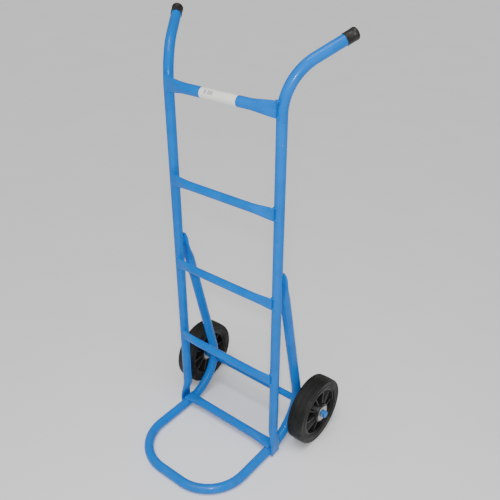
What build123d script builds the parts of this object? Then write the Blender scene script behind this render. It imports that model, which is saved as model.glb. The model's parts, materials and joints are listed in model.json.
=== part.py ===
from build123d import *
from math import cos, pi, radians, sin, sqrt, tan
import os

os.makedirs("parts", exist_ok=True)

# A tubular steel hand truck. X runs across it, Y from the toe loop back to the wheels, Z up.
# Everything is placed from the uprights' plane, Y = 0, and shifted once when it is written.
# All sizes are in millimetres and all angles in degrees.

# Frame
upright_spacing = 328.0        # between the two upright axes
upright_od = 25.4
tube_wall = 1.6
bend_start_z = 995.5           # where the uprights start to bend into the handles
handle_bend_radius = 123.5     # on the tube's axis
handle_turn = 64.0             # from vertical to the handle's own direction
handle_splay = 32.9            # turned outwards from straight back
handle_straight = 91.0         # from the end of the bend to the tube's end

# Rungs, pressed into oval blades that lap on the front of the uprights
rung_heights = {"lower_rung": 280.0, "middle_rung": 524.0, "upper_rung": 769.0, "top_rung": 1010.0}
rung_od = 22.2
top_rung_od = 25.4
rung_blade = 8.0               # thickness of the pressed end
top_rung_blade = 9.0
rung_lap = 18.0                # length that is pressed all the way
press_run = 48.0               # length over which a tube goes from round to pressed
end_closure = 3.0              # how deep the pressed mouth is closed
blade_crown = 0.25             # how much the pressed flats still bulge

# Toe loop and rear braces, one bent tube
loop_od = 26.9
loop_inset = 6.8               # from an upright's axis in to the loop's, at the floor
loop_reach = 262.6             # from the uprights' axes to the front of the loop
loop_corner_radius = 119.0
rear_corner = 149.0            # from the uprights' axes back to where floor and brace lines meet
rear_bend_radius = 122.5
brace_lean = 12.66             # forward lean of the braces from vertical
brace_top = 601.0
brace_blade = 7.0
brace_lap = 24.0
brace_press_run = 66.0

# Base bar, on top of the loop's sides
base_bar_od = 25.4
base_bar_blade = 9.0
base_bar_overhang = 5.8        # from the loop's axis out to the blade's end
base_bar_setback = -3.0

# Foot of each upright, lapped on the outside of the loop
foot_blade = 7.0
foot_bottom = 8.0
foot_lap = 22.0
foot_press_run = 62.0
foot_setback = -3.0
lap_gap = 0.1                  # between a pressed blade and the tube that it is welded to

# Axle and wheels
axle_od = 20.0
axle_notch = 5.45              # how deep the axle sits in the back of the loop's rear bends
axle_stub = 11.75              # from the outer washer to the axle's end
axle_chamfer = 1.5
wheel_radius = 100.0
tyre_width = 50.0
tyre_offset = 16.0             # from the hub's inner face out to the tyre's middle
tyre_depth = 26.0              # from the rim out to the tread
tyre_shoulder = 9.0
tyre_crown = 1.5               # rise of the tread from its edges to its middle
tread_grooves = (-13.0, 0.0, 13.0)
groove_depth = 0.8
groove_width = 1.2
rim_thickness = 6.0
rim_width = 43.0
rim_flange = 2.0               # ridge that keys the tyre on the rim
rim_flange_width = 12.0
hub_width = 44.5
boss_radius = 28.0
web_thickness = 5.0
rib_count = 10
rib_thickness = 4.0
rib_rim_step = 5.0             # how far the ribs stop below the rim's faces
bush_wall = 2.95
running_clearance = 0.05       # radial, bush on axle
side_clearance = 0.25          # wheel between its washers
washer_thickness = 2.5
inner_washer_od = 46.0
outer_washer_od = 46.0
washer_clearance = 0.25        # radial, washer on axle
spacer_wall = 2.95
spacer_length = 21.4
spacer_clearance = 0.05        # radial, spacer on axle
spacer_gap = 0.2               # between the spacer and the loop's tube
pin_wire = 2.0
pin_gap = 0.1                  # between the pin's two legs
pin_hole_clearance = 0.15      # radial
pin_inset = 6.0                # from the axle's end to the pin
pin_tilt = -25.0               # the pin's legs point back and down
pin_eye = 4.0                  # half width of the pin's eye
pin_eye_length = 8.8
pin_shoulder = 2.4             # length over which the wires part into the eye
pin_overhang = 5.0             # how far the legs come out of the axle before the lower one turns
pin_drop = 4.0                 # how far the bent leg reaches past the axle's underside

# Handle caps and the label
cap_wall = 1.3
cap_skirt = 23.0
cap_end = 3.0                  # flat thickness before the dome
cap_dome = 4.5
cap_edge_pull = 0.75           # fullness of the dome at its edge, as a share of its height
cap_crown_pull = 0.62          # fullness of the dome at its crown, as a share of its radius
cap_clearance = 0.05
label_start = -42.0            # from the truck's middle
label_length = 104.0
label_thickness = 0.3

# Weld beads
bead_radius = 2.6
bead_sink = 1.0                # how far a blade's side beads lie in from its edges
rung_bead_run = 9.0            # from the upright's axis in along the rung
rung_bead_rise = 2.5           # how far that end stands off the upright's front
foot_bead_ends = (-3.0, 8.0)   # below and above the loop's axis
foot_bead_lean = 1.5
base_bead_start = 8.0          # from the loop's axis in towards the middle
base_bead_end = 4.0            # short of the blade's end
base_bead_sink = 0.4
brace_bead_half_spacing = 8.0
brace_bead_sink = 2.0
brace_bead_ends = (3.0, -6.0)  # from the start of the blade, and from its top
brace_top_bead_half = 7.0
brace_top_bead_stand_off = 1.0
brace_top_bead_rise = 0.5
axle_bead_half = 6.0

# Worked out from the sizes above
half_spacing = upright_spacing / 2
upright_radius = upright_od / 2
loop_radius = loop_od / 2
loop_side = half_spacing - loop_inset
lean = radians(brace_lean)
brace_spread = loop_inset / (brace_top - loop_radius)
brace_blade_y = upright_radius + lap_gap + brace_blade / 2
foot_x = loop_side + loop_radius + lap_gap + foot_blade / 2
base_bar_reach = loop_side + base_bar_overhang

axle_radius = axle_od / 2
axle_height = wheel_radius
rear_turn = radians(90 + brace_lean)
rear_bend_y = rear_corner - rear_bend_radius * tan(rear_turn / 2)
rear_bend_drop = rear_bend_radius + loop_radius - axle_height
seat_y = rear_bend_y + sqrt(rear_bend_radius ** 2 - rear_bend_drop ** 2)
seat_x = loop_side + (axle_height - loop_radius) * brace_spread
axle_back = seat_y + loop_radius + axle_radius - axle_notch
wheel_back = axle_back + wheel_radius
depth_shift = (loop_reach - wheel_back) / 2

bush_bore = axle_radius + running_clearance
bush_radius = bush_bore + bush_wall
spacer_bore = axle_radius + spacer_clearance
spacer_start = seat_x + loop_radius + spacer_gap
spacer_end = spacer_start + spacer_length
inner_washer_face = spacer_end + washer_thickness
hub_inner_face = inner_washer_face + side_clearance
hub_outer_face = hub_inner_face + hub_width
outer_washer_face = hub_outer_face + side_clearance
axle_half_length = outer_washer_face + washer_thickness + axle_stub
tyre_middle = hub_inner_face + tyre_offset
rim_radius = wheel_radius - tyre_depth
pin_x = axle_half_length - pin_inset


def write(name, *pieces):
    """Shift finished pieces so that the truck's footprint is centred, and write them as one node."""
    placed = [Pos(0, depth_shift, 0) * piece for piece in pieces]
    export_step(placed[0] if len(placed) == 1 else Compound(placed), f"parts/{name}.step")


def hollow(skins):
    """Tube from its outside and its cavity."""
    outside, cavity = skins
    return outside - cavity


def blend(first, last, share):
    return first + (last - first) * share


def smooth(share):
    return share * share * (3 - 2 * share)


def on_both_sides(name, shape):
    """Write a piece modelled on the right, +X, and its mirror image."""
    write(f"right_{name}", shape)
    write(f"left_{name}", mirror(shape, about=Plane.YZ))


def pressed_width(diameter, thickness):
    """Width of a tube pressed to this thickness, with its outline's length unchanged."""
    return pi * (diameter - thickness) / 2 + thickness


def pressed_section(plane, radius, thickness, press):
    """Outline across a tube: round at press 0, an oval blade at 1, wide along the plane's X."""
    half_width = pressed_width(2 * radius, thickness) / 2
    tip = blend(radius, half_width, press)
    crest = blend(radius, thickness / 2, press)
    x = blend(radius * cos(pi / 6), half_width - thickness / 2, press)
    y = blend(radius * sin(pi / 6), thickness / 2 - blade_crown, press)
    outline = [
        ThreePointArc((-x, y), (0, crest), (x, y)),
        ThreePointArc((x, y), (tip, 0), (x, -y)),
        ThreePointArc((x, -y), (0, -crest), (-x, -y)),
        ThreePointArc((-x, -y), (-tip, 0), (-x, y)),
    ]
    return plane * make_face(outline)


def pressed_end(radius, thickness, frames, lap):
    """Outside and hollow of a tube's pressed end, through planes from the round one to the blade."""
    shapes = []
    for inset, length in ((0, lap), (tube_wall, lap - end_closure)):
        sections = [
            pressed_section(plane, radius - inset, thickness - 2 * inset, press)
            for plane, press in frames
        ]
        blade = extrude(sections[-1], amount=length, dir=frames[-1][0].z_dir)
        shapes.append(loft(sections) + blade)
    return shapes


def press_frames(centre, x_dir, z_dir, count=4):
    """Planes along a pressed end: centre and z_dir are functions of the share of the run."""
    shares = [step / count for step in range(count + 1)]
    return [(Plane(centre(s), x_dir=x_dir, z_dir=z_dir(s)), smooth(s)) for s in shares]


def bead(start, end, radius, *neighbours):
    """Weld bead with round ends, trimmed where it meets the pieces that it joins."""
    start, end = Vector(*start), Vector(*end)
    along = end - start
    body = Plane(start, z_dir=along) * Cylinder(
        radius, along.length, align=(Align.CENTER, Align.CENTER, Align.MIN)
    )
    body = body + Pos(start) * Sphere(radius) + Pos(end) * Sphere(radius)
    for neighbour in neighbours:
        body = body - neighbour
    return max(body.solids(), key=lambda solid: solid.volume)


def write_mirrored(name, pieces):
    """Write the given solids and their mirror images as one node."""
    write(name, *pieces, *[mirror(piece, about=Plane.YZ) for piece in pieces])


def cross_tube(diameter, thickness, reach, blade_dir):
    """Straight tube along X about the origin with both ends pressed; blades wide along blade_dir."""
    radius = diameter / 2
    round_end = reach - rung_lap - press_run
    frames = press_frames(
        lambda s: (round_end + s * press_run, 0, 0), blade_dir, lambda s: (1, 0, 0)
    )
    skins = []
    for end, inset in zip(pressed_end(radius, thickness, frames, rung_lap), (0, tube_wall)):
        middle = Rot(0, 90, 0) * Cylinder(radius - inset, 2 * round_end)
        skins.append(middle + end + mirror(end, about=Plane.YZ))
    return skins


# Uprights, with their handles and pressed feet -------------------------------------------------

def upright_path(start_z):
    """Axis of the right upright from start_z to the end of its handle."""
    turn = radians(handle_turn)
    corner = bend_start_z + handle_bend_radius * tan(turn / 2)
    run = handle_bend_radius * tan(turn / 2) + handle_straight
    out, rise = run * sin(turn), run * cos(turn)
    splay = radians(handle_splay)
    top = (half_spacing + out * sin(splay), out * cos(splay), corner + rise)
    return FilletPolyline(
        (half_spacing, 0, start_z), (half_spacing, 0, corner), top, radius=handle_bend_radius
    )


def upright():
    round_start = foot_bottom + foot_lap + foot_press_run

    def centre(share):
        shift = smooth(share)
        return (
            blend(half_spacing, foot_x, shift),
            foot_setback * shift,
            round_start - foot_press_run * share,
        )

    frames = press_frames(centre, (0, 1, 0), lambda s: (0, 0, -1))
    path = upright_path(round_start)
    skins = []
    for foot, inset in zip(
        pressed_end(upright_radius, foot_blade, frames, foot_lap), (0, tube_wall)
    ):
        ring = Plane(path @ 0, z_dir=path % 0) * Circle(upright_radius - inset)
        skins.append(sweep(ring, path=path) + foot)
    return skins


upright_skins = upright()
on_both_sides("upright", hollow(upright_skins))

# Handle caps -----------------------------------------------------------------------------------

def handle_cap():
    path = upright_path(bend_start_z - upright_od)
    bore = upright_radius + cap_clearance
    outside = bore + cap_wall
    crown = cap_end + cap_dome
    profile = Polyline(
        (bore, -cap_skirt), (outside, -cap_skirt), (outside, cap_end)
    ) + Bezier(
        (outside, cap_end), (outside, cap_end + cap_dome * cap_edge_pull),
        (outside * cap_crown_pull, crown), (0, crown)
    ) + Polyline((0, crown), (0, cap_clearance), (bore, cap_clearance), (bore, -cap_skirt))
    cap = revolve(Plane.XZ * make_face(profile.edges()), axis=Axis.Z)
    return Plane(path @ 1, z_dir=path % 1) * cap


on_both_sides("handle_cap", handle_cap())

# Rungs -----------------------------------------------------------------------------------------

rung_outsides = {}
for rung_name, height in rung_heights.items():
    top = rung_name == "top_rung"
    diameter = top_rung_od if top else rung_od
    blade = top_rung_blade if top else rung_blade
    front = -(upright_radius + lap_gap + blade / 2)
    place = Pos(0, front, height)
    rung_skins = cross_tube(diameter, blade, half_spacing, (0, 0, 1))
    rung_outsides[rung_name] = place * rung_skins[0]
    write(rung_name, place * hollow(rung_skins))

# Paper label wrapped round the top rung
label_radius = top_rung_od / 2
label_ring = Circle(label_radius + label_thickness) - Circle(label_radius)
label = Rot(0, 90, 0) * extrude(label_ring, amount=label_length)
top_front = -(upright_radius + lap_gap + top_rung_blade / 2)
write("rung_label", Pos(label_start, top_front, rung_heights["top_rung"]) * label)

# Toe loop and braces, one tube -----------------------------------------------------------------

def brace_line(z):
    """Point on the right brace's straight axis at height z."""
    rise = z - loop_radius
    return Vector(loop_side + rise * brace_spread, rear_corner - rise * tan(lean), z)


def loop_path():
    front = loop_radius - loop_reach
    right_top = brace_line(brace_top - brace_lap - brace_press_run)
    right_rear = brace_line(loop_radius)
    points = [right_top, right_rear, Vector(loop_side, front, loop_radius)]
    points += [Vector(-p.X, p.Y, p.Z) for p in reversed(points)]
    radii = [rear_bend_radius, loop_corner_radius, loop_corner_radius, rear_bend_radius]
    return FilletPolyline(*points, radius=radii)


def brace_frames():
    """Planes up the pressed top of the right brace, swinging upright to lie on the upright's back."""
    run_start = brace_top - brace_lap - brace_press_run
    along = (brace_line(brace_top) - brace_line(run_start)).normalized()
    swing = brace_blade_y - brace_line(brace_top - brace_lap).Y

    def centre(share):
        point = brace_line(run_start + brace_press_run * share)
        return (point.X, point.Y + swing * smooth(share), point.Z)

    def direction(share):
        return along + (Vector(0, 0, 1) - along) * smooth(share)

    return press_frames(centre, (1, 0, 0), direction)


path = loop_path()
axle_rod = Pos(0, axle_back, axle_height) * Rot(0, 90, 0) * Cylinder(axle_radius, 2 * axle_half_length)
axle_seat = Pos(0, axle_back, axle_height) * Rot(0, 90, 0) * Cylinder(
    bush_bore, 2 * (half_spacing + loop_od)
)
loop_skins = []
for top_end, inset in zip(
    pressed_end(loop_radius, brace_blade, brace_frames(), brace_lap), (0, tube_wall)
):
    ring = Plane(path @ 0, z_dir=path % 0) * Circle(loop_radius - inset)
    loop_skins.append(sweep(ring, path=path) + top_end + mirror(top_end, about=Plane.YZ))
write("toe_loop", hollow(loop_skins) - axle_seat)

# Base bar --------------------------------------------------------------------------------------

base_bar_z = loop_od + lap_gap + base_bar_blade / 2
base_place = Pos(0, base_bar_setback, base_bar_z)
base_skins = cross_tube(base_bar_od, base_bar_blade, base_bar_reach, (0, 1, 0))
write("base_bar", base_place * hollow(base_skins))

# Axle, spacers, washers and split pins ---------------------------------------------------------

def ring_on_axle(outside, inside, start, end):
    """Plain ring about the axle, between two distances from the truck's middle."""
    section = Circle(outside) - Circle(inside)
    ring = Rot(0, 90, 0) * extrude(section, amount=end - start)
    return Pos(start, axle_back, axle_height) * ring


pin_leg = (pin_wire + pin_gap) / 2
pin_hole = pin_leg + pin_wire / 2 + pin_hole_clearance
pin_plane = Plane(
    (pin_x, axle_back, axle_height),
    x_dir=(0, cos(radians(pin_tilt)), sin(radians(pin_tilt))), z_dir=(1, 0, 0)
)


def split_pin():
    """Folded wire: an eye before the axle, two legs through it, the lower one bent down."""
    eye_start = -axle_radius - pin_wire
    shoulder = eye_start - pin_shoulder
    eye_end = eye_start - pin_eye_length
    clear = axle_radius + pin_overhang
    drop = axle_radius + pin_drop
    points = [
        (clear + pin_wire, pin_leg), (eye_start, pin_leg), (shoulder, pin_eye), (eye_end, pin_eye),
        (eye_end, -pin_eye), (shoulder, -pin_eye), (eye_start, -pin_leg), (clear, -pin_leg),
        (clear + pin_wire, -drop / 2), (clear - pin_wire, -drop),
    ]
    eye_bend = pin_shoulder
    shoulder_bend = pin_shoulder * 5 / 8
    bends = [shoulder_bend] * 2 + [eye_bend] * 2 + [shoulder_bend] * 2 + [pin_wire] * 2
    wire = pin_plane * FilletPolyline(*points, radius=bends)
    ring = Plane(wire @ 0, z_dir=wire % 0) * Circle(pin_wire / 2)
    return sweep(ring, path=wire)


pin_bore = pin_plane * Rot(0, 90, 0) * Cylinder(pin_hole, 2 * axle_od)
axle = chamfer(axle_rod.edges().filter_by(GeomType.CIRCLE), axle_chamfer)
axle = axle - pin_bore - mirror(pin_bore, about=Plane.YZ)
write("axle", axle)
on_both_sides("split_pin", split_pin())

spacer = ring_on_axle(spacer_bore + spacer_wall, spacer_bore, spacer_start, spacer_end)
washer_bore = axle_radius + washer_clearance
inner_washer = ring_on_axle(inner_washer_od / 2, washer_bore, spacer_end, inner_washer_face)
outer_washer = ring_on_axle(
    outer_washer_od / 2, washer_bore, outer_washer_face, outer_washer_face + washer_thickness
)
on_both_sides("axle_spacer", spacer)
on_both_sides("inner_washer", inner_washer)
on_both_sides("outer_washer", outer_washer)

# Wheels ----------------------------------------------------------------------------------------
# Each profile is drawn with X along the axle from the tyre's middle and Y as the radius.

def on_axle(profile):
    """Turn a profile into a ring about the axle, at the right wheel."""
    turned = revolve(profile, axis=Axis.X)
    return Pos(tyre_middle, axle_back, axle_height) * turned


def rim_outline(outside, half_width):
    """Top edge of the rim, with the ridge in its middle that keys the tyre."""
    ridge = rim_flange_width / 2
    return [
        (-half_width, outside), (-ridge - rim_flange, outside), (-ridge, outside + rim_flange),
        (ridge, outside + rim_flange), (ridge + rim_flange, outside), (half_width, outside),
    ]


def tyre():
    half = tyre_width / 2
    tread = wheel_radius - tyre_crown
    side = wheel_radius - tyre_crown - tyre_shoulder
    edge = half - tyre_shoulder
    bend = tyre_shoulder * sin(pi / 4)
    inner = rim_outline(rim_radius, half)
    lines = [
        Polyline(*reversed(inner)),
        Line((-half, rim_radius), (-half, side)),
        ThreePointArc((-half, side), (-edge - bend, side + bend), (-edge, tread)),
        ThreePointArc((-edge, tread), (0, wheel_radius), (edge, tread)),
        ThreePointArc((edge, tread), (edge + bend, side + bend), (half, side)),
        Line((half, side), (half, rim_radius)),
    ]
    profile = make_face([edge for line in lines for edge in line.edges()])
    for place in tread_grooves:
        depth = tyre_crown * (place / edge) ** 2 + groove_depth
        cut = Rectangle(groove_width, 2 * depth)
        profile = profile - Pos(place, wheel_radius) * cut
    return on_axle(profile)


def hub():
    rim_inside = rim_radius - rim_thickness
    half_rim = rim_width / 2
    face_in = hub_inner_face - tyre_middle
    face_out = hub_outer_face - tyre_middle
    rim_top = rim_outline(rim_radius, half_rim)
    profile = make_face(Polyline(
        *rim_top, (half_rim, rim_inside), (web_thickness / 2, rim_inside),
        (web_thickness / 2, boss_radius), (face_out, boss_radius), (face_out, bush_radius),
        (face_in, bush_radius), (face_in, boss_radius), (-web_thickness / 2, boss_radius),
        (-web_thickness / 2, rim_inside), (-half_rim, rim_inside), close=True
    ).edges())
    low = boss_radius - rib_thickness
    high = rim_inside + rim_thickness / 2
    step = half_rim - rib_rim_step
    rib_profile = make_face(Polyline(
        (face_in + rib_rim_step / 2, low), (-step, high), (step, high),
        (face_out - rib_rim_step, low), close=True
    ).edges())
    rib = extrude(rib_profile, amount=rib_thickness / 2, both=True)
    body = revolve(profile, axis=Axis.X)
    for number in range(rib_count):
        body = body + Rot(360 * number / rib_count, 0, 0) * rib
    return Pos(tyre_middle, axle_back, axle_height) * body


on_both_sides("tyre", tyre())
on_both_sides("hub", hub())
on_both_sides("hub_bush", ring_on_axle(bush_radius, bush_bore, hub_inner_face, hub_outer_face))

# Welds -----------------------------------------------------------------------------------------
# Beads are trimmed against the pieces' outsides, so that none reaches into a tube.

upright_outside, loop_outside = upright_skins[0], loop_skins[0]
base_outside = base_place * base_skins[0]

# A rung's two beads are alike above and below it, so a half turn gives those at its other end.
rung_beads = []
for rung_name, height in rung_heights.items():
    top = rung_name == "top_rung"
    half_width = pressed_width(
        top_rung_od if top else rung_od, top_rung_blade if top else rung_blade
    ) / 2
    half_turn = Pos(0, 0, height) * Rot(0, 180, 0) * Pos(0, 0, -height)
    for side in (-1, 1):
        z = height + side * half_width
        rung_bead = bead(
            (half_spacing, -upright_radius, z),
            (half_spacing - rung_bead_run, rung_bead_rise - upright_radius, z),
            bead_radius, upright_outside, rung_outsides[rung_name]
        )
        rung_beads += [rung_bead, half_turn * rung_bead]
write("rung_welds", *rung_beads)

foot_edge = pressed_width(upright_od, foot_blade) / 2 - bead_sink
loop_face = loop_side + loop_radius
foot_beads = [
    bead(
        (loop_face, foot_setback + side * foot_edge, loop_radius + foot_bead_ends[0]),
        (loop_face - foot_bead_lean, foot_setback + side * foot_edge, loop_radius + foot_bead_ends[1]),
        bead_radius, upright_outside, loop_outside
    )
    for side in (-1, 1)
]
write_mirrored("foot_welds", foot_beads)

base_edge = pressed_width(base_bar_od, base_bar_blade) / 2 - bead_sink
base_bead_z = loop_od - base_bead_sink
base_beads = [
    bead(
        (loop_side - base_bead_start, base_bar_setback + side * base_edge, base_bead_z),
        (base_bar_reach - base_bead_end, base_bar_setback + side * base_edge, base_bead_z),
        bead_radius, base_outside, loop_outside
    )
    for side in (-1, 1)
]
write_mirrored("base_bar_welds", base_beads)

brace_blade_start = brace_top - brace_lap
brace_blade_x = brace_line(brace_blade_start).X
brace_bead_y = upright_radius - brace_bead_sink
brace_beads = [
    bead(
        (brace_blade_x + side, brace_bead_y, brace_blade_start + brace_bead_ends[0]),
        (brace_blade_x + side, brace_bead_y, brace_top + brace_bead_ends[1]),
        bead_radius, upright_outside, loop_outside
    )
    for side in (-brace_bead_half_spacing, brace_bead_half_spacing)
]
top_bead_y = upright_radius + brace_top_bead_stand_off
top_bead_z = brace_top + brace_top_bead_rise
brace_beads.append(bead(
    (brace_blade_x - brace_top_bead_half, top_bead_y, top_bead_z),
    (brace_blade_x + brace_top_bead_half, top_bead_y, top_bead_z),
    bead_radius, upright_outside, loop_outside
))
write_mirrored("brace_welds", brace_beads)

# The axle's beads stay within the loop's width, clear of the spacers.
axle_bead_offset = loop_radius - bead_radius
axle_front = axle_back - axle_radius
axle_beads = [
    bead(
        (seat_x + side, axle_front, axle_height - axle_bead_half),
        (seat_x + side, axle_front, axle_height + axle_bead_half),
        bead_radius, axle_rod, loop_outside
    )
    for side in (-axle_bead_offset, axle_bead_offset)
]
write_mirrored("axle_welds", axle_beads)
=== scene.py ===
import json
import math

import bpy
from mathutils import Matrix, Vector, noise


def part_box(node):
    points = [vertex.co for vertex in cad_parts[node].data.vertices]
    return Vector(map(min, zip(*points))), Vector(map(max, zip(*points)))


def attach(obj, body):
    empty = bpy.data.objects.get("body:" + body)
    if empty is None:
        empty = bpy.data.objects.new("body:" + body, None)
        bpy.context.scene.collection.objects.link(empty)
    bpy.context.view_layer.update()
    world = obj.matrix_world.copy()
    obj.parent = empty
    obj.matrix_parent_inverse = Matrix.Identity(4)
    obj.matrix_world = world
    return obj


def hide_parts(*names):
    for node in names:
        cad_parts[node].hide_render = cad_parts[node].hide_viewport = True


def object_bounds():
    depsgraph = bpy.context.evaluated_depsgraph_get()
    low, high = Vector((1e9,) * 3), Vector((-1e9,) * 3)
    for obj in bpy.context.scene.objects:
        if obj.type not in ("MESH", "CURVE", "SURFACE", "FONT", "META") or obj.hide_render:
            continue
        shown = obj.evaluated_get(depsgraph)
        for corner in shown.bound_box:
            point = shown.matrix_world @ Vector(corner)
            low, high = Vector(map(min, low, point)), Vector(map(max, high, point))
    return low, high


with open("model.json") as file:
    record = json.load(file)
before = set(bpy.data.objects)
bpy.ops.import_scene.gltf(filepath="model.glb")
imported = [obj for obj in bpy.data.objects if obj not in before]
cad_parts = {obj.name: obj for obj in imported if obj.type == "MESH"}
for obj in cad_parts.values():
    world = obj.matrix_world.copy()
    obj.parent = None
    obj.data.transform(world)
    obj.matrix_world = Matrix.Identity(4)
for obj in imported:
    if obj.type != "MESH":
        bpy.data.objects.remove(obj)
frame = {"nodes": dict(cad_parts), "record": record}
cadLow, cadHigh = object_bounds()
nodes = frame["nodes"]
mountPlaces = {mount["name"]: Vector(mount["pos_m"]) for mount in frame["record"]["mounts"]}

across = Vector((1, 0, 0))
back = Vector((0, 1, 0))
up = Vector((0, 0, 1))
uprightX = mountPlaces["right_upright_tube"].x
uprightY = mountPlaces["right_upright_tube"].y


def middleOf(node):
    low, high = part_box(node)
    return (low + high) / 2


def sizeOf(node):
    low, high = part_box(node)
    return high - low


def easeShare(share):
    share = min(max(share, 0.0), 1.0)
    return share * share * (3 - 2 * share)


def mix(first, last, share):
    return first + (last - first) * share


def pieceName(node):
    return node.replace("_", " ").title().replace(" ", "")


# Working with objects.

joinWithin = {"drawn": 2e-6, "copied": 5e-6, "weld": 1e-5}


def pick(*pieces):
    bpy.ops.object.select_all(action="DESELECT")
    for piece in pieces:
        piece.select_set(True)
    bpy.context.view_layer.objects.active = pieces[0]


def joinAll(pieces, name):
    pick(*pieces)
    bpy.ops.object.join()
    pieces[0].name = name
    return pieces[0]


def duplicateOf(piece, name):
    copy = piece.copy()
    copy.data = piece.data.copy()
    copy.name = name
    bpy.context.scene.collection.objects.link(copy)
    return copy


def mirroredCopy(piece, name):
    copy = duplicateOf(piece, name)
    copy.data.transform(Matrix.Scale(-1, 4, across))
    pick(copy)
    bpy.ops.object.mode_set(mode="EDIT")
    bpy.ops.mesh.select_all(action="SELECT")
    bpy.ops.mesh.flip_normals()
    bpy.ops.object.mode_set(mode="OBJECT")
    return copy


def tidyMesh(piece, smoothAngle=40):
    pick(piece)
    bpy.ops.object.mode_set(mode="EDIT")
    bpy.ops.mesh.select_all(action="SELECT")
    bpy.ops.mesh.remove_doubles(threshold=joinWithin["drawn"])
    bpy.ops.mesh.normals_make_consistent(inside=False)
    bpy.ops.object.mode_set(mode="OBJECT")
    bpy.ops.object.shade_smooth_by_angle(angle=math.radians(smoothAngle))
    return piece


def applyModifiers(piece):
    pick(piece)
    for modifier in list(piece.modifiers):
        bpy.ops.object.modifier_apply(modifier=modifier.name)


# Tubes: a ring is drawn, pushed along the runs and spun round the bends.

strides = {"rung": 0.08, "upright": 0.12, "handle": 0.03, "brace": 0.1, "loop": 0.08, "bend": 0.0018}


def startTube(name, radius, place, heading, sides=48):
    bpy.ops.object.select_all(action="DESELECT")
    turn = heading.to_track_quat("Z", "X").to_euler()
    bpy.ops.mesh.primitive_circle_add(
        vertices=sides, radius=radius, fill_type="NGON", location=place, rotation=turn
    )
    piece = bpy.context.object
    piece.name = name
    bpy.ops.object.transform_apply(location=True, rotation=True, scale=True)
    bpy.ops.object.mode_set(mode="EDIT")
    bpy.ops.mesh.select_all(action="SELECT")
    return {"piece": piece, "place": place.copy(), "heading": heading.normalized(), "bends": []}


def pushStraight(tube, length, stride):
    steps = max(1, round(length / stride))
    step = tube["heading"] * (length / steps)
    for _ in range(steps):
        bpy.ops.mesh.extrude_region_move(TRANSFORM_OT_translate={"value": step})
    tube["place"] = tube["place"] + tube["heading"] * length


def pushBend(tube, heading, radius):
    heading = heading.normalized()
    axis = tube["heading"].cross(heading).normalized()
    centre = tube["place"] + axis.cross(tube["heading"]) * radius
    angle = tube["heading"].angle(heading)
    steps = max(8, round(angle * radius / strides["bend"]))
    bpy.ops.mesh.spin(steps=steps, angle=-angle, center=centre, axis=axis)
    arm = tube["place"] - centre
    bend = {"centre": centre, "axis": axis, "arm": arm.normalized(), "radius": radius, "angle": angle}
    tube["bends"].append(bend)
    tube["place"] = centre + Matrix.Rotation(angle, 3, axis) @ arm
    tube["heading"] = heading


def endTube(tube):
    bpy.ops.object.mode_set(mode="OBJECT")
    return tidyMesh(tube["piece"])


wrinkles = {
    "height": 0.0006, "pitch": 0.0078, "reach": 0.45, "unevenness": 0.55, "noiseScale": 45,
    "fade": 0.7, "drift": 2,
}


def wrinkleBends(tube, radius):
    # A bender leaves shallow ripples on the inside of each bend.
    for vertex in tube["piece"].data.vertices:
        for bend in tube["bends"]:
            arm = vertex.co - bend["centre"]
            flat = arm - bend["axis"] * arm.dot(bend["axis"])
            turned = math.atan2(flat.dot(bend["axis"].cross(bend["arm"])), flat.dot(bend["arm"]))
            if not 0 < turned < bend["angle"]:
                continue
            inward = (bend["radius"] - flat.length) / radius
            along = turned / bend["angle"]
            if inward <= wrinkles["reach"] or arm.length > bend["radius"] + 2 * radius:
                continue
            depth = (inward - wrinkles["reach"]) / (1 - wrinkles["reach"])
            fade = math.sin(math.pi * along) ** wrinkles["fade"]
            chance = 1 + wrinkles["unevenness"] * noise.noise(vertex.co * wrinkles["noiseScale"])
            waves = 2 * math.pi * turned * bend["radius"] / wrinkles["pitch"]
            wave = math.sin(waves + wrinkles["drift"] * chance)
            vertex.co -= flat.normalized() * (wrinkles["height"] * depth ** 2 * fade * chance * wave)


pressing = {
    "wideRound": 0.85, "thinRound": 0.35, "dish": 0.0011, "dishWidth": 0.42, "dishLimit": 0.6,
    "dishFrom": 0.2, "stride": 0.004, "mouthDepth": 0.0025, "mouthShare": 0.42, "mouthWidth": 0.9,
    "mouthLip": 0.0003, "mouthNear": 1e-4,
}


def pressedOutline(turn, radius, thickness, press):
    # Across a tube that is pressed into a blade: wide first, thin second, dished in its middle.
    halfWide = (math.pi * (2 * radius - thickness) / 2 + thickness) / 2
    halfThin = thickness / 2
    cosine, sine = math.cos(turn), math.sin(turn)
    bladeWide = math.copysign(halfWide * abs(cosine) ** pressing["wideRound"], cosine)
    bladeThin = math.copysign(halfThin * abs(sine) ** pressing["thinRound"], sine)
    dish = pressing["dish"] * math.exp(-(bladeWide / (pressing["dishWidth"] * halfWide)) ** 2)
    if abs(sine) > pressing["dishFrom"]:
        bladeThin -= math.copysign(min(dish, halfThin * pressing["dishLimit"]), sine)
    wide = mix(radius * cosine, bladeWide, press)
    thin = mix(radius * sine, bladeThin, press)
    return wide, thin


# Rungs and base bar.

crossTubes = {
    "top_rung": {"blade": 0.0058, "seat": 0.0016, "trim": 0.0035, "thinAxis": back, "wideAxis": up},
    "upper_rung": {"blade": 0.0052, "seat": 0.0014, "trim": 0.0035, "thinAxis": back, "wideAxis": up},
    "middle_rung": {"blade": 0.0052, "seat": 0.0014, "trim": 0.0035, "thinAxis": back, "wideAxis": up},
    "lower_rung": {"blade": 0.0052, "seat": 0.0014, "trim": 0.0035, "thinAxis": back, "wideAxis": up},
    "base_bar": {"blade": 0.0064, "seat": -0.0013, "trim": 0.0, "thinAxis": up, "wideAxis": back},
}
crossPress = {"lap": 0.009, "run": 0.057, "straightness": 0.6}


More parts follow.
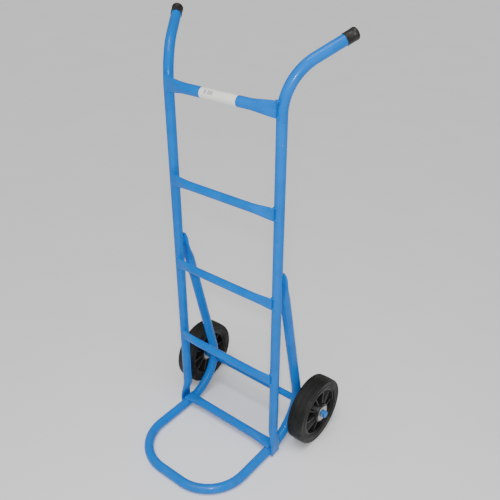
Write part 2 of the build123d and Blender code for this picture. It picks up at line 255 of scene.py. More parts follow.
def makeCrossTube(node, facts):
    middle, size = middleOf(node), sizeOf(node)
    wideAxis, thinAxis = facts["wideAxis"], facts["thinAxis"]
    radius, reach = size.dot(thinAxis) / 2, size.x / 2 - facts["trim"]
    pressed = crossPress["lap"] + crossPress["run"]
    tube = startTube(pieceName(node), radius, middle - across * reach, across)
    pushStraight(tube, pressed, pressing["stride"])
    pushStraight(tube, 2 * (reach - pressed), strides["rung"])
    pushStraight(tube, pressed, pressing["stride"])
    piece = endTube(tube)
    for vertex in piece.data.vertices:
        offset = vertex.co - middle
        share = min(max((abs(offset.x) - (reach - pressed)) / crossPress["run"], 0), 1)
        press = mix(easeShare(share), share, crossPress["straightness"])
        turn = math.atan2(offset.dot(thinAxis), offset.dot(wideAxis))
        onRing = math.hypot(offset.dot(thinAxis), offset.dot(wideAxis)) > radius / 2
        if press > 0 and onRing:
            wide, thin = pressedOutline(turn, radius, facts["blade"], press)
            thin += facts["seat"] * press
            vertex.co = middle + across * offset.x + wideAxis * wide + thinAxis * thin
        elif press > 0:
            vertex.co += thinAxis * facts["seat"] * press
    openMouths(piece, middle, across, reach, wideAxis, thinAxis)
    return finishTube(piece, node)


def openMouths(piece, middle, heading, reach, wideAxis, thinAxis):
    # Each pressed mouth gets the narrow slit that is left between the tube's two walls.
    pick(piece)
    for side in (-1, 1):
        bpy.ops.object.mode_set(mode="EDIT")
        bpy.ops.mesh.select_all(action="DESELECT")
        bpy.ops.object.mode_set(mode="OBJECT")
        faces = [
            face for face in piece.data.polygons
            if abs((face.center - middle).dot(heading) * side - reach) < pressing["mouthNear"]
        ]
        for face in faces:
            face.select = True
        if not faces:
            continue
        bpy.ops.object.mode_set(mode="EDIT")
        bpy.ops.mesh.select_mode(type="FACE")
        cutMouth(heading * side, wideAxis, thinAxis)
        bpy.ops.object.mode_set(mode="OBJECT")


def cutMouth(heading, wideAxis, thinAxis):
    bpy.ops.mesh.inset(thickness=pressing["mouthLip"], depth=0)
    bpy.ops.transform.resize(value=[
        mix(1, pressing["mouthShare"], abs(thin)) * mix(1, pressing["mouthWidth"], abs(wide))
        for thin, wide in zip(thinAxis, wideAxis)
    ])
    inward = heading * -pressing["mouthDepth"]
    bpy.ops.mesh.extrude_region_move(TRANSFORM_OT_translate={"value": inward})


def finishTube(piece, node, body="frame"):
    pick(piece)
    bpy.ops.object.shade_smooth_by_angle(angle=math.radians(40))
    piece.data.materials.clear()
    piece.data.materials.append(framePaint)
    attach(piece, body)
    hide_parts(node)
    return piece


# Uprights.

uprightTube = {
    "radius": 0.0127, "bendStart": 0.9955, "bendRadius": 0.1235, "turn": 64.0, "splay": 32.9,
    "handle": 0.091, "footBottom": 0.008, "footLap": 0.022, "footRun": 0.062, "footBlade": 0.007,
    "footSetback": -0.003,
}


def makeUprights():
    facts = uprightTube
    splay, turn = math.radians(facts["splay"]), math.radians(facts["turn"])
    outward = across * math.sin(splay) + back * math.cos(splay)
    handleHeading = outward * math.sin(turn) + up * math.cos(turn)
    footPlace = Vector((uprightX, uprightY, facts["footBottom"]))
    tube = startTube("RightUpright", facts["radius"], footPlace, up)
    pressed = facts["footLap"] + facts["footRun"]
    pushStraight(tube, pressed, pressing["stride"])
    pushStraight(tube, facts["bendStart"] - facts["footBottom"] - pressed, strides["upright"])
    pushBend(tube, handleHeading, facts["bendRadius"])
    pushStraight(tube, facts["handle"], strides["handle"])
    right = endTube(tube)
    wrinkleBends(tube, facts["radius"])
    pressFoot(right)
    foot = Vector((footX(), uprightY + facts["footSetback"], 0))
    openMouths(right, foot, -up, -facts["footBottom"], back, across)
    left = mirroredCopy(right, "LeftUpright")
    finishTube(right, "right_upright")
    finishTube(left, "left_upright")


def footX():
    return loopTube["side"] + loopTube["radius"] + loopTube["clearance"] + uprightTube["footBlade"] / 2


def pressFoot(piece):
    facts = uprightTube
    roundStart = facts["footBottom"] + facts["footLap"] + facts["footRun"]
    for vertex in piece.data.vertices:
        drop = (roundStart - vertex.co.z) / facts["footRun"]
        if drop <= 0:
            continue
        press = easeShare(drop)
        wide, thin = vertex.co.y - uprightY, vertex.co.x - uprightX
        wide, thin = pressedOutline(math.atan2(thin, wide), facts["radius"], facts["footBlade"], press)
        centreX = mix(uprightX, footX(), press)
        centreY = uprightY + facts["footSetback"] * press
        vertex.co.x, vertex.co.y = centreX + thin, centreY + wide


# Toe loop and braces, one tube.

loopTube = {
    "radius": 0.01345, "side": 0.1572, "reach": 0.2626, "cornerRadius": 0.119, "rearCorner": 0.149,
    "rearBendRadius": 0.1225, "lean": 12.66, "braceTop": 0.601, "lap": 0.024, "run": 0.066,
    "blade": 0.007, "tipLength": 0.02, "tipShare": 0.58, "clearance": 0.0001,
}


def braceLine(height, side=1):
    facts = loopTube
    rise = height - facts["radius"]
    outward = (uprightX - facts["side"]) / (facts["braceTop"] - facts["radius"])
    lean = math.tan(math.radians(facts["lean"]))
    x = facts["side"] + rise * outward
    return Vector((side * x, uprightY + facts["rearCorner"] - rise * lean, height))


def makeToeLoop():
    facts = loopTube
    top, rear = braceLine(facts["braceTop"]), braceLine(facts["radius"])
    downward = (rear - top).normalized()
    rearTangent = facts["rearBendRadius"] * math.tan(downward.angle(-back) / 2)
    frontY = uprightY + facts["radius"] - facts["reach"]
    pressed = facts["lap"] + facts["run"]
    braceRun = (rear - top).length - rearTangent - pressed
    sideRun = rear.y - frontY - rearTangent - facts["cornerRadius"]
    tube = startTube("ToeLoop", facts["radius"], top, downward)
    pushStraight(tube, pressed, pressing["stride"])
    pushStraight(tube, braceRun, strides["brace"])
    pushBend(tube, -back, facts["rearBendRadius"])
    pushStraight(tube, sideRun, strides["loop"])
    pushBend(tube, -across, facts["cornerRadius"])
    pushStraight(tube, 2 * (facts["side"] - facts["cornerRadius"]), strides["loop"])
    pushBend(tube, back, facts["cornerRadius"])
    pushStraight(tube, sideRun, strides["loop"])
    leftTop = Vector((-top.x, top.y, top.z))
    leftRear = Vector((-rear.x, rear.y, rear.z))
    upward = (leftTop - leftRear).normalized()
    pushBend(tube, upward, facts["rearBendRadius"])
    pushStraight(tube, braceRun, strides["brace"])
    pushStraight(tube, pressed, pressing["stride"])
    piece = endTube(tube)
    wrinkleBends(tube, facts["radius"])
    pressBraces(piece)
    return finishTube(piece, "toe_loop")


def pressBraces(piece):
    # The pressed tops swing upright, to lie flat on the uprights' backs.
    facts = loopTube
    bladeY = uprightY + uprightTube["radius"] + facts["clearance"] + facts["blade"] / 2
    runStart = facts["braceTop"] - facts["lap"] - facts["run"]
    swing = bladeY - braceLine(facts["braceTop"] - facts["lap"]).y
    for vertex in piece.data.vertices:
        if vertex.co.z < runStart - facts["radius"]:
            continue
        side = math.copysign(1, vertex.co.x)
        foot = braceLine(runStart, side)
        along = (braceLine(facts["braceTop"], side) - foot).normalized()
        travelled = (vertex.co - foot).dot(along)
        if travelled <= 0:
            continue
        press = easeShare(travelled / facts["run"])
        thinAxis = across.cross(along).normalized() * -1
        wideAxis = along.cross(thinAxis).normalized()
        offset = vertex.co - foot - along * travelled
        turn = math.atan2(offset.dot(thinAxis), offset.dot(wideAxis))
        wide, thin = pressedOutline(turn, facts["radius"], facts["blade"], press)
        tip = (travelled - facts["run"] - facts["lap"] + facts["tipLength"]) / facts["tipLength"]
        wide *= mix(1, facts["tipShare"], max(tip, 0) ** 2)
        centre = foot + along * travelled
        lapped = travelled - facts["run"]
        if lapped > 0:
            centre = foot + along * facts["run"] + up * lapped
        centre.y += swing * press
        thinAxis = thinAxis.lerp(back, press).normalized()
        vertex.co = centre + wideAxis * wide + thinAxis * thin


# Weld beads, rippled, one modelled and then copied to each seam.

weldBead = {
    "radius": 0.0027, "length": 0.012, "ripples": 7, "rippleSteps": 4, "sides": 14, "waist": 0.84,
    "swell": 0.16, "blunt": 3.2, "lean": 0.35,
}


def makeBeadPattern():
    facts = weldBead
    half = facts["length"] / 2
    tube = startTube("WeldBead", facts["radius"], across * -half, across, facts["sides"])
    pushStraight(tube, facts["length"], facts["length"] / (facts["ripples"] * facts["rippleSteps"]))
    piece = endTube(tube)
    for vertex in piece.data.vertices:
        share = vertex.co.x / half
        ripple = abs(math.sin(math.pi * facts["ripples"] * (share + 1) / 2))
        taper = math.sqrt(max(0.0, 1 - abs(share) ** facts["blunt"]))
        width = taper * (facts["waist"] + facts["swell"] * ripple)
        lean = facts["lean"] * vertex.co.z
        vertex.co.y *= width
        vertex.co.z *= width
        vertex.co.x += lean * (1 - abs(share))
    return piece


def seamsOf(node):
    # Place, direction and length of each bead in a CAD node, which is a group of loose solids.
    work = duplicateOf(nodes[node], node + "Work")
    work.parent = None
    pick(work)
    bpy.ops.object.mode_set(mode="EDIT")
    bpy.ops.mesh.select_all(action="SELECT")
    bpy.ops.mesh.remove_doubles(threshold=joinWithin["weld"])
    bpy.ops.mesh.separate(type="LOOSE")
    bpy.ops.object.mode_set(mode="OBJECT")
    parts = list(bpy.context.selected_objects)
    seams = []
    for part in parts:
        points = [vertex.co.copy() for vertex in part.data.vertices]
        middle = sum(points, Vector()) / len(points)
        far = max(points, key=lambda point: (point - middle).length)
        other = max(points, key=lambda point: (point - far).length)
        run = far - other
        seams.append({"place": (far + other) / 2, "heading": run.normalized(), "length": run.length})
    pick(*parts)
    bpy.ops.object.delete()
    return seams


def makeWelds(node, pattern):
    beads = []
    for number, seam in enumerate(seamsOf(node)):
        bead = duplicateOf(pattern, f"{node}{number}")
        stretch = Matrix.Diagonal((seam["length"] / weldBead["length"], 1, 1, 1))
        turn = seam["heading"].to_track_quat("X", "Z").to_matrix().to_4x4()
        bead.data.transform(Matrix.Translation(seam["place"]) @ turn @ stretch)
        beads.append(bead)
    return finishTube(joinAll(beads, pieceName(node)), node)


# Turned pieces: an outline is drawn as distance along the axle and radius, then spun.

def spinOutline(name, outline, place, axis, outward, steps=96, smoothAngle=35):
    bpy.ops.object.select_all(action="DESELECT")
    first = place + axis * outline[0][0] + outward * outline[0][1]
    bpy.ops.mesh.primitive_plane_add(size=0.001, location=first)
    piece = bpy.context.object
    piece.name = name
    bpy.ops.object.transform_apply(location=True, rotation=True, scale=True)
    bpy.ops.object.mode_set(mode="EDIT")
    bpy.ops.mesh.select_mode(type="VERT")
    bpy.ops.mesh.select_all(action="SELECT")
    bpy.ops.mesh.merge(type="CENTER")
    bpy.ops.mesh.select_all(action="SELECT")
    for (along, radius), (nextAlong, nextRadius) in zip(outline, outline[1:]):
        step = axis * (nextAlong - along) + outward * (nextRadius - radius)
        bpy.ops.mesh.extrude_region_move(TRANSFORM_OT_translate={"value": step})
    bpy.ops.mesh.select_all(action="SELECT")
    bpy.ops.mesh.spin(steps=steps, angle=2 * math.pi, center=place, axis=axis)
    bpy.ops.object.mode_set(mode="OBJECT")
    return tidyMesh(piece, smoothAngle)


def roundedCorner(along, radius, size, start, end, steps=5):
    # Points round a corner whose arc has its middle at (along, radius), angles in degrees.
    angles = [math.radians(mix(start, end, step / steps)) for step in range(steps + 1)]
    return [(along + size * math.cos(a), radius + size * math.sin(a)) for a in angles]


# Wheels.

tyreShape = {
    "shoulder": 0.0048, "crown": 0.001, "sideStep": 0.0011, "stepRadii": (0.080, 0.0835),
    "stepSlopes": (0.0006, 0.0008), "sideEase": 0.002, "easeShare": 0.4, "cornerSteps": 8,
    "grooves": (-0.0145, -0.0005, 0.0145), "grooveWidth": 0.0013, "grooveDepth": 0.0009, "grooveEase": 1.6,
    "treadGap": 0.007, "rimRadius": 0.074, "ridgeFoot": 0.008, "ridgeTop": 0.006, "ridgeHeight": 0.002,
    "spinSteps": 128,
}


def tyreOutline(radius, halfWidth):
    facts = tyreShape
    shoulder, crown = facts["shoulder"], facts["crown"]
    edge = halfWidth - shoulder
    side = radius - crown - shoulder
    low, high = facts["stepRadii"]
    lowSlope, highSlope = facts["stepSlopes"]
    step = facts["sideStep"]

    def treadAt(along):
        return radius - crown * (along / edge) ** 2

    face = halfWidth - step
    leftSide = [
        (-face, facts["rimRadius"]), (-face, low - lowSlope), (-halfWidth, low), (-halfWidth, high),
        (-face, high + highSlope), (-face, side - facts["sideEase"]),
        (-face - step * facts["easeShare"], side),
    ]
    tread = roundedCorner(-edge, side, shoulder, 176, 92, facts["cornerSteps"])
    for groove in facts["grooves"]:
        half = facts["grooveWidth"] / 2
        wide = half * facts["grooveEase"]
        for along, drop in ((-wide, 0), (-half, 1), (half, 1), (wide, 0)):
            tread.append((groove + along, treadAt(groove + along) - drop * facts["grooveDepth"]))
        if groove != facts["grooves"][-1]:
            tread.append((groove + facts["treadGap"], treadAt(groove + facts["treadGap"])))
    tread += roundedCorner(edge, side, shoulder, 88, 4, facts["cornerSteps"])
    rightSide = [(-along, at) for along, at in reversed(leftSide)]
    ridgeRadius = facts["rimRadius"] + facts["ridgeHeight"]
    ridge = [
        (facts["ridgeFoot"], facts["rimRadius"]), (facts["ridgeTop"], ridgeRadius),
        (-facts["ridgeTop"], ridgeRadius), (-facts["ridgeFoot"], facts["rimRadius"]),
    ]
    outline = leftSide + tread + rightSide + ridge
    return outline + outline[:1]


def makeTyres():
    middle, size = middleOf("right_tyre"), sizeOf("right_tyre")
    radius, halfWidth = size.z / 2, size.x / 2
    outline = tyreOutline(radius, halfWidth)
    right = spinOutline("RightTyre", outline, middle, across, back, tyreShape["spinSteps"])
    left = mirroredCopy(right, "LeftTyre")
    for side, piece in (("right", right), ("left", left)):
        finishPiece(piece, f"{side}_tyre", tyreRubber, f"{side}_wheel")


def finishPiece(piece, node, material, body, smoothAngle=None):
    if smoothAngle:
        pick(piece)
        bpy.ops.object.shade_smooth_by_angle(angle=math.radians(smoothAngle))
    piece.data.materials.clear()
    piece.data.materials.append(material)
    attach(piece, body)
    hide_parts(node)
    return piece


softEdges = {
    "hub": 0.0007, "hub_bush": 0.0003, "inner_washer": 0.00035, "outer_washer": 0.00035,
    "axle_spacer": 0.0004, "segments": 2, "angle": 32, "flat": 0.6, "smooth": 38,
}


def softenedCopy(node, width):
    # A copy of a CAD node with its flat faces joined up and its edges rounded.
    piece = duplicateOf(nodes[node], pieceName(node))
    piece.parent = None
    for key in list(piece.keys()):
        del piece[key]
    pick(piece)
    bpy.ops.object.mode_set(mode="EDIT")
    bpy.ops.mesh.select_all(action="SELECT")
    bpy.ops.mesh.remove_doubles(threshold=joinWithin["copied"])
    bpy.ops.mesh.dissolve_limited(angle_limit=math.radians(softEdges["flat"]))
    bpy.ops.object.mode_set(mode="OBJECT")
    soften = piece.modifiers.new("Soften", "BEVEL")
    soften.width = width
    soften.segments = softEdges["segments"]
    soften.angle_limit = math.radians(softEdges["angle"])
    soften.limit_method = "ANGLE"
    soften.harden_normals = False
    applyModifiers(piece)
    return piece


def softenPart(side, part, material, body):
    node = f"{side}_{part}"
    piece = softenedCopy(node, softEdges[part])
    finishPiece(piece, node, material, body, softEdges["smooth"])


def makeHubs():
    for side in ("right", "left"):
        softenPart(side, "hub", hubPlastic, f"{side}_wheel")
        softenPart(side, "hub_bush", bushPlastic, f"{side}_wheel")


def makeAxleParts():
    for side in ("right", "left"):
        softenPart(side, "inner_washer", zincSteel, "frame")
        softenPart(side, "outer_washer", zincSteel, "frame")
        softenPart(side, "axle_spacer", framePaint, "frame")


# Handle caps.

capShape = {
    "wall": 0.0013, "skirt": 0.023, "flat": 0.003, "dome": 0.0045, "domeRise": 1.1, "domeRound": 0.62,
    "steps": 9, "boreGap": 0.00002, "wallGap": 0.00005, "floor": 0.0006, "chamfer": 0.0006,
    "ease": 0.0004, "lip": 0.0005, "lipEase": 0.0003, "lipShare": 0.6, "rimEnd": 0.0022,
    "waistStart": 0.0027, "waistEnd": -0.004, "shoulder": -0.0034, "spinSteps": 56, "smooth": 50,
}


def makeCaps():
    facts = capShape
    splay, turn = math.radians(uprightTube["splay"]), math.radians(uprightTube["turn"])
    outward = across * math.sin(splay) + back * math.cos(splay)
    heading = outward * math.sin(turn) + up * math.cos(turn)
    side = heading.cross(up).normalized()
    bendTop = uprightTube["bendRadius"]
    tip = Vector((uprightX, uprightY, uprightTube["bendStart"]))
    tip += outward * bendTop * (1 - math.cos(turn)) + up * bendTop * math.sin(turn)
    tip += heading * uprightTube["handle"]
    bore = uprightTube["radius"] + facts["boreGap"]
    outside = uprightTube["radius"] + facts["wallGap"] + facts["wall"]
    waist = outside - facts["lip"] * facts["lipShare"]
    mouth, halfFlat = -facts["skirt"], facts["flat"] * 0.5
    outline = [
        (mouth + facts["chamfer"], bore), (mouth, bore + facts["ease"]),
        (mouth, outside - facts["lip"] - facts["lipEase"]), (mouth + facts["ease"], outside),
        (mouth + facts["rimEnd"], outside), (mouth + facts["waistStart"], waist),
        (facts["waistEnd"], waist), (facts["shoulder"], outside), (halfFlat, outside),
    ]
    for step in range(1, facts["steps"] + 1):
        angle = math.pi / 2 * step / facts["steps"]
        along = halfFlat + (facts["dome"] + halfFlat) * math.sin(angle) ** facts["domeRise"]
        outline.append((along, max(outside * math.cos(angle) ** facts["domeRound"], 0.0)))
    outline += [(facts["floor"], 0.0), (facts["floor"], bore)]
    outline.append(outline[0])
    right = spinOutline("RightHandleCap", outline, tip, heading, side, facts["spinSteps"], facts["smooth"])
    left = mirroredCopy(right, "LeftHandleCap")
    finishPiece(right, "right_handle_cap", capPlastic, "frame")
    finishPiece(left, "left_handle_cap", capPlastic, "frame")


# Label: a paper sleeve with a lapped seam at the back of the rung.

labelShape = {
    "thickness": 0.00022, "lap": 0.28, "seam": 0.9, "lift": 0.0009, "liftScale": 22, "liftLeast": 0.35,
    "liftRange": 0.65, "puff": 0.00009, "puffScale": 90, "puffTurn": 1.3, "puffSlice": 3.7, "gap": 0.00004,
    "lapGap": 0.00012, "steps": 60, "smooth": 60,
}


def makeLabel():
    facts = labelShape
    low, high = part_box("rung_label")
    middle = (low + high) / 2
    radius = sizeOf("top_rung").y / 2 + facts["gap"]
    bpy.ops.object.select_all(action="DESELECT")
    bpy.ops.mesh.primitive_plane_add(size=1, location=middle)
    piece = bpy.context.object
    piece.name = "RungLabel"
    length, turn = high.x - low.x, 2 * math.pi + facts["lap"]
    bpy.ops.transform.resize(value=(length, turn, 1))
    bpy.ops.object.transform_apply(location=False, rotation=True, scale=True)
    bpy.ops.object.mode_set(mode="EDIT")
    bpy.ops.mesh.select_all(action="SELECT")
    bpy.ops.mesh.subdivide(number_cuts=facts["steps"])
    bpy.ops.object.mode_set(mode="OBJECT")
    piece.location = (0, 0, 0)
    for vertex in piece.data.vertices:
        share = vertex.co.y / turn + 0.5
        angle = facts["seam"] + share * turn
        lapped = max(0.0, share * turn - 2 * math.pi) / facts["lap"]
        spot = Vector((vertex.co.x * facts["puffScale"], angle * facts["puffTurn"], facts["puffSlice"]))
        puff = facts["puff"] * noise.noise(spot)
        uneven = abs(noise.noise(Vector((vertex.co.x * facts["liftScale"], 0, 0))))
        bow = facts["lift"] * lapped ** 2 * (facts["liftLeast"] + facts["liftRange"] * uneven)
        reach = radius + abs(puff) + bow + facts["lapGap"] * (lapped > 0)
        outward = back * math.cos(angle) + up * math.sin(angle)
        vertex.co = middle + across * vertex.co.x + outward * reach
    thicken = piece.modifiers.new("Paper", "SOLIDIFY")
    thicken.thickness = facts["thickness"]
    thicken.offset = 1
    applyModifiers(piece)
    tidyMesh(piece, facts["smooth"])
    finishPiece(piece, "rung_label", labelPaper, "frame")


# Shader effects that several materials use.

def newGroup(name, inputs, outputs):
    group = bpy.data.node_groups.new(name, "ShaderNodeTree")
    for label, kind, value in inputs:
        socket = group.interface.new_socket(name=label, in_out="INPUT", socket_type=kind)
        if value is not None:
            socket.default_value = value
    for label, kind in outputs:
        group.interface.new_socket(name=label, in_out="OUTPUT", socket_type=kind)
    return group, group.nodes.new("NodeGroupInput"), group.nodes.new("NodeGroupOutput")


def addNode(tree, kind, inputs=None, **settings):
    node = tree.nodes.new(kind)
    for name, value in settings.items():
        setattr(node, name, value)
    for socket, value in (inputs or {}).items():
        if isinstance(value, bpy.types.NodeSocket):
            tree.links.new(value, node.inputs[socket])
        else:
            node.inputs[socket].default_value = value
    return node


def mixColour(tree, factor, first, second):
    node = addNode(tree, "ShaderNodeMix", data_type="RGBA")
    for socket, value in ((0, factor), (6, first), (7, second)):
        if isinstance(value, bpy.types.NodeSocket):
            tree.links.new(value, node.inputs[socket])
        else:
            node.inputs[socket].default_value = value
    return node.outputs[2]


def mathNode(tree, operation, first, second=0.0):
    return addNode(tree, "ShaderNodeMath", {0: first, 1: second}, operation=operation).outputs[0]


def product(tree, first, second):
    return mathNode(tree, "MULTIPLY", first, second)


def minus(tree, first, second):
    return mathNode(tree, "SUBTRACT", first, second)


def apart(tree, first, second):
    return mathNode(tree, "ABSOLUTE", minus(tree, first, second))


def between(tree, value, low, high):
    over = mathNode(tree, "GREATER_THAN", value, low)
    return product(tree, over, mathNode(tree, "LESS_THAN", value, high))


def spread(tree, value, low, high, outLow=0.0, outHigh=1.0):
    return addNode(
        tree, "ShaderNodeMapRange",
        {"Value": value, "From Min": low, "From Max": high, "To Min": outLow, "To Max": outHigh},
        interpolation_type="SMOOTHSTEP"
    ).outputs[0]


effects = {
    "wobbleScale": 420.0, "wobble": 0.004, "speckRim": 1.5, "highDustAndSheen": 0.12, "cloud": (0.38, 0.72),
    "patchScale": 22.0,
}


def noiseNode(tree, place, scale, detail, roughness=0.5):
    inputs = {"Vector": place, "Scale": scale, "Detail": detail, "Roughness": roughness}
    return addNode(tree, "ShaderNodeTexNoise", inputs)


def vectorNode(tree, operation, first, second=None):
    inputs = {0: first} if second is None else {0: first, 1: second}
    return addNode(tree, "ShaderNodeVectorMath", inputs, operation=operation)


def makeSpeckGroup():
    # Small uneven spots: chips in paint, dust specks, moulding marks.
    group, given, result = newGroup(
        "Specks",
        [("Place", "NodeSocketVector", None), ("Scale", "NodeSocketFloat", 60.0),
         ("Amount", "NodeSocketFloat", 0.1), ("Size", "NodeSocketFloat", 0.12)],
        [("Mask", "NodeSocketFloat"), ("Rim", "NodeSocketFloat")]
    )
    wobble = noiseNode(group, given.outputs["Place"], effects["wobbleScale"], 3.0)
    shifted = vectorNode(group, "SUBTRACT", wobble.outputs["Color"], (0.5, 0.5, 0.5))
    scaled = vectorNode(group, "SCALE", shifted.outputs[0])
    scaled.inputs["Scale"].default_value = effects["wobble"]
    place = vectorNode(group, "ADD", given.outputs["Place"], scaled.outputs[0])
    spacing = {"Vector": place.outputs[0], "Scale": given.outputs["Scale"]}
    cells = addNode(group, "ShaderNodeTexVoronoi", spacing)
    pickCell = addNode(group, "ShaderNodeSeparateColor", {0: cells.outputs["Color"]})
    chosen = mathNode(group, "LESS_THAN", pickCell.outputs[0], given.outputs["Amount"])
    sizeHere = product(group, given.outputs["Size"], pickCell.outputs[1])
    inside = mathNode(group, "LESS_THAN", cells.outputs["Distance"], sizeHere)
    wider = product(group, sizeHere, effects["speckRim"])
    near = mathNode(group, "LESS_THAN", cells.outputs["Distance"], wider)
    group.links.new(product(group, inside, chosen), result.inputs["Mask"])
    group.links.new(product(group, near, chosen), result.inputs["Rim"])
    return group


def makeDustAndSheenGroup():
    # Dust that gathers low down and in soft patches. On the frame paint this greyer tint low down is also
    # painted sheen: the washed-out grey that the light gives the lowest tubes.
    group, given, result = newGroup(
        "LowDustAndSheen",
        [("Place", "NodeSocketVector", None), ("Height", "NodeSocketFloat", 0.3),
         ("Scale", "NodeSocketFloat", 14.0), ("Amount", "NodeSocketFloat", 0.3)],
        [("Mask", "NodeSocketFloat")]
    )
    place = given.outputs["Place"]
    split = addNode(group, "ShaderNodeSeparateXYZ", {0: place})
    low = mathNode(group, "DIVIDE", split.outputs["Z"], given.outputs["Height"])
    fade = spread(group, low, 0.0, 1.0, 1.0, effects["highDustAndSheen"])
    patches = noiseNode(group, place, given.outputs["Scale"], 7.0, 0.62)
    cloud = spread(group, patches.outputs["Fac"], *effects["cloud"])
    mask = product(group, product(group, fade, cloud), given.outputs["Amount"])
    group.links.new(mask, result.inputs["Mask"])
    return group


def makeGrainGroup():
    # Fine surface grain on two scales, as a height and as a change of roughness.
    group, given, result = newGroup(
        "Grain",
        [("Place", "NodeSocketVector", None), ("Coarse", "NodeSocketFloat", 180.0),
         ("Fine", "NodeSocketFloat", 1400.0), ("Balance", "NodeSocketFloat", 0.5)],
        [("Height", "NodeSocketFloat"), ("Patch", "NodeSocketFloat")]
    )
    place = given.outputs["Place"]
    coarse = noiseNode(group, place, given.outputs["Coarse"], 2.0)
    fine = noiseNode(group, place, given.outputs["Fine"], 1.0)
    shares = {0: given.outputs["Balance"], 2: coarse.outputs["Fac"], 3: fine.outputs["Fac"]}
    blendNode = addNode(group, "ShaderNodeMix", shares)
    group.links.new(blendNode.outputs[0], result.inputs["Height"])
    patch = noiseNode(group, place, effects["patchScale"], 4.0)
    group.links.new(patch.outputs["Fac"], result.inputs["Patch"])
    return group


speckGroup = makeSpeckGroup()
dustAndSheenGroup = makeDustAndSheenGroup()
grainGroup = makeGrainGroup()


def useGroup(tree, group, place, **values):
    node = tree.nodes.new("ShaderNodeGroup")
    node.node_tree = group
    tree.links.new(place, node.inputs["Place"])
    for name, value in values.items():
        node.inputs[name].default_value = value
    return node


def newMaterial(name, **plainSockets):
    material = bpy.data.materials.new(name)
    material.use_nodes = True
    tree = material.node_tree
    shader = tree.nodes["Principled BSDF"]
    for socket, value in plainSockets.items():
        shader.inputs[socket.replace("_", " ")].default_value = value
    place = tree.nodes.new("ShaderNodeTexCoord").outputs["Object"]
    return material, tree, shader, place


def finishMaterial(tree, shader, colour, roughness, height, bump):
    strength, distance = bump
    tree.links.new(colour, shader.inputs["Base Color"])
    tree.links.new(roughness, shader.inputs["Roughness"])
    relief = {"Height": height, "Strength": strength, "Distance": distance}
    bumpNode = addNode(tree, "ShaderNodeBump", relief)
    tree.links.new(bumpNode.outputs[0], shader.inputs["Normal"])


# Materials.

# The paint's dust colour is a greyer blue mixed in low down. It is partly dust and partly painted sheen:
# the washed-out grey that the light gives the lowest tubes.
paintLook = {
    "blue": (0.0001, 0.182, 0.68, 1), "deepBlue": (0.0001, 0.158, 0.60, 1), "dust": (0.09, 0.23, 0.44, 1),
    "primer": (0.075, 0.06, 0.05, 1), "steel": (0.42, 0.42, 0.41, 1),
    "sockets": {"Coat_Weight": 0.14, "Coat_Roughness": 0.07, "Specular_IOR_Level": 0.1},
    "grain": {"Coarse": 120.0, "Fine": 700.0, "Balance": 0.12},
    "dustAndSheen": {"Height": 0.3, "Scale": 21.0, "Amount": 0.22},
    "chips": {"Scale": 52.0, "Amount": 0.045, "Size": 0.11},
    "nicks": {"Scale": 150.0, "Amount": 0.016, "Size": 0.26},
    "roughness": (0.18, 0.32), "dustRoughness": 0.5, "rimRoughness": 0.3, "chipDepth": 1.5,
    "bump": (0.1, 0.0003),
}


def makeFramePaint():
    look = paintLook
    material, tree, shader, place = newMaterial("FramePaint", **look["sockets"])
    grain = useGroup(tree, grainGroup, place, **look["grain"])
    dustAndSheen = useGroup(tree, dustAndSheenGroup, place, **look["dustAndSheen"])
    chips = useGroup(tree, speckGroup, place, **look["chips"])
    nicks = useGroup(tree, speckGroup, place, **look["nicks"])
    shade = spread(tree, grain.outputs["Patch"], 0.35, 0.7)
    blue = mixColour(tree, shade, look["blue"], look["deepBlue"])
    # Greyer towards the bottom: partly dust, partly painted sheen where the light washes out the lowest
    # tubes.
    withDustAndSheen = mixColour(tree, dustAndSheen.outputs["Mask"], blue, look["dust"])
    rim = mixColour(tree, chips.outputs["Rim"], withDustAndSheen, look["primer"])
    bare = mixColour(tree, chips.outputs["Mask"], rim, look["steel"])
    nicked = mixColour(tree, nicks.outputs["Mask"], bare, look["primer"])
    rough = spread(tree, grain.outputs["Patch"], 0.3, 0.75, *look["roughness"])
    dustRough = product(tree, dustAndSheen.outputs["Mask"], look["dustRoughness"])
    rimRough = product(tree, chips.outputs["Rim"], look["rimRoughness"])
    rough = mathNode(tree, "ADD", mathNode(tree, "ADD", rough, dustRough), rimRough)
    chipped = product(tree, chips.outputs["Rim"], look["chipDepth"])
    sunk = minus(tree, grain.outputs["Height"], chipped)
    finishMaterial(tree, shader, nicked, rough, sunk, look["bump"])
    return material


tyreLines = {
    "treadPitch": 0.0031, "sidePitch": 0.0042, "treadRadius": 0.0925, "edgePitch": 2.4,
    "edgeOffset": 0.0172, "edgeWidth": 0.0009, "dashFrom": 0.1,
}


